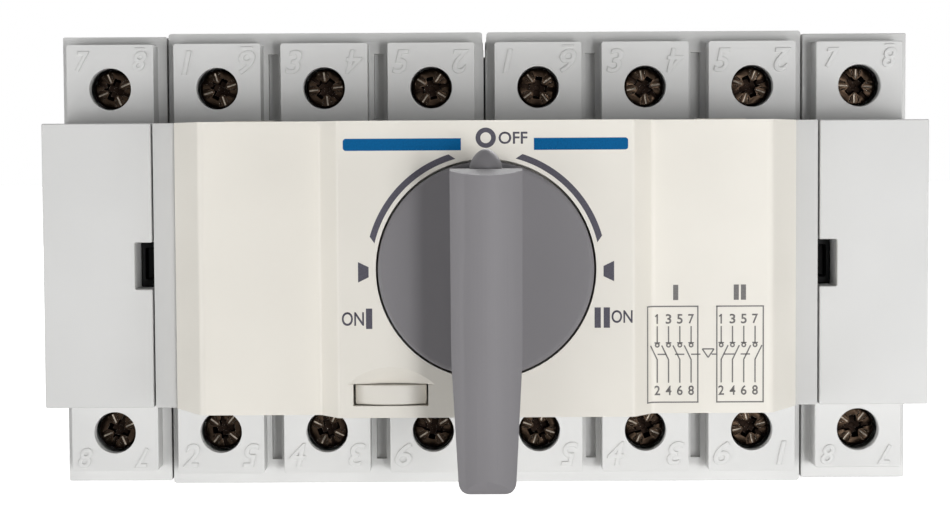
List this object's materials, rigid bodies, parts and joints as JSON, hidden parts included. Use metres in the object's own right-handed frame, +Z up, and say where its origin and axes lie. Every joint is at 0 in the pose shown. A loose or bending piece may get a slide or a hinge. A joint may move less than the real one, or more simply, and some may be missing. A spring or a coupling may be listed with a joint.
{
  "type": "rail-mounted changeover switch",
  "caption": "Rail-mounted manual changeover switch: two load-break switches side by side under one cream cover with a long grey turning handle and a pull-out padlock tab.",
  "frame": {"origin": "on the front plane of the mounting rail, at the centre of the rail slot", "axes": "+X along the rail to the reader's right, -Y out of the front, +Z up the wall"},
  "size_m": [0.14, 0.0965, 0.075],
  "materials": {
    "grey_housing": "fine spark-eroded grain",
    "grey_tray": "fine grain",
    "cream_cover": "fine grain, satin",
    "cream_tab": "satin",
    "grey_handle": "soft matt moulding",
    "grey_pointer": "satin",
    "black_clip": "matt",
    "dark_plastic": "matt",
    "latch_plastic": "matt",
    "white_plastic": "satin, self-lubricating",
    "plate_plastic": "satin",
    "screw_steel": "passivated, dark bronze tone",
    "fixing_steel": "zinc plated",
    "cage_steel": "yellow zinc plated",
    "plate_steel": "copper flashed sheet",
    "spring_steel": "drawn spring wire and strip",
    "shaft_steel": "turned",
    "rack_zinc": "die cast",
    "contact_copper": "bright copper alloy with silver contact faces"
  },
  "bodies": {
    "case": {"base_left": "grey_tray", "base_right": "grey_tray", "housing_left": "grey_housing", "housing_right": "grey_housing", "front_left": "grey_housing", "front_right": "grey_housing", "nose_left": "grey_housing", "nose_right": "grey_housing", "extra_base_left": "grey_tray", "extra_base_right": "grey_tray", "extra_housing_left": "grey_housing", "extra_housing_right": "grey_housing", "extra_front_left": "grey_housing", "extra_front_right": "grey_housing", "extra_nose_left": "grey_housing", "extra_nose_right": "grey_housing", "joining_clip_left": "black_clip", "joining_clip_right": "black_clip", "housing_screws": "fixing_steel", "terminal_screws_upper": "screw_steel", "terminal_screws_lower": "screw_steel", "terminal_cages_upper": "cage_steel", "terminal_cages_lower": "cage_steel", "fixed_contacts_upper": "contact_copper", "fixed_contacts_lower": "contact_copper", "arc_plates_upper": "plate_steel", "arc_plates_lower": "plate_steel", "mechanism_base": "plate_plastic", "mechanism_cover": "cream_cover", "mechanism_screws": "fixing_steel", "detent_spring": "spring_steel", "snap_spring_left": "spring_steel", "snap_spring_right": "spring_steel", "latch_spring_left": "spring_steel", "latch_spring_right": "spring_steel"},
    "handle": {"handle": "grey_handle", "pointer": "grey_pointer", "handle_shaft": "shaft_steel", "drive_gear": "white_plastic"},
    "transfer": {"transfer_rack": "rack_zinc"},
    "rotor_left": {"rotor_left": "white_plastic", "rotor_gear_left": "white_plastic"},
    "carriage_left": {"carriage_left": "dark_plastic", "extra_carriage_left": "dark_plastic", "coupling_pin_left": "shaft_steel", "moving_bars_left": "contact_copper", "bar_springs_left": "spring_steel"},
    "rail_latch_left": {"rail_latch_left": "latch_plastic"},
    "rotor_right": {"rotor_right": "white_plastic", "rotor_gear_right": "white_plastic"},
    "carriage_right": {"carriage_right": "dark_plastic", "extra_carriage_right": "dark_plastic", "coupling_pin_right": "shaft_steel", "moving_bars_right": "contact_copper", "bar_springs_right": "spring_steel"},
    "rail_latch_right": {"rail_latch_right": "latch_plastic"},
    "lock_tab": {"lock_tab": "cream_tab"}
  },
  "joints": [
    {"name": "handle_turn", "type": "hinge", "parent": "case", "child": "handle", "pos_m": [0, 0, 0], "axis": [0, -1, 0], "range_deg": [-90, 90]},
    {"name": "transfer_slide", "type": "slide", "parent": "case", "child": "transfer", "axis": [1, 0, 0], "range_m": [-0.0081, 0.0081]},
    {"name": "rotor_turn_left", "type": "hinge", "parent": "case", "child": "rotor_left", "pos_m": [-0.02625, 0, 0], "axis": [0, -1, 0], "range_deg": [-91, 91]},
    {"name": "contacts_left", "type": "slide", "parent": "case", "child": "carriage_left", "axis": [1, 0, 0], "range_m": [-0.0054, 0.0054]},
    {"name": "rail_latch_left", "type": "slide", "parent": "case", "child": "rail_latch_left", "axis": [0, 0, -1], "range_m": [0, 0.003], "stiffness_N_per_m": 400, "springref_m": -0.003, "deforming": ["latch_spring_left"]},
    {"name": "rotor_turn_right", "type": "hinge", "parent": "case", "child": "rotor_right", "pos_m": [0.02625, 0, 0], "axis": [0, -1, 0], "range_deg": [-91, 91]},
    {"name": "contacts_right", "type": "slide", "parent": "case", "child": "carriage_right", "axis": [1, 0, 0], "range_m": [-0.0054, 0.0054]},
    {"name": "rail_latch_right", "type": "slide", "parent": "case", "child": "rail_latch_right", "axis": [0, 0, -1], "range_m": [0, 0.003], "stiffness_N_per_m": 400, "springref_m": -0.003, "deforming": ["latch_spring_right"]},
    {"name": "lock_tab_pull", "type": "slide", "parent": "case", "child": "lock_tab", "axis": [0, -1, 0], "range_m": [0, 0.0075]}
  ],
  "couplings": [
    {"joint": "transfer_slide", "follows": "handle_turn", "m_per_rad": -0.0051},
    {"joint": "rotor_turn_left", "follows": "handle_turn", "ratio": 1},
    {"joint": "contacts_left", "follows": "handle_turn", "m_per_rad": -0.0033741},
    {"joint": "rotor_turn_right", "follows": "handle_turn", "ratio": 1},
    {"joint": "contacts_right", "follows": "handle_turn", "m_per_rad": -0.0033741}
  ]
}
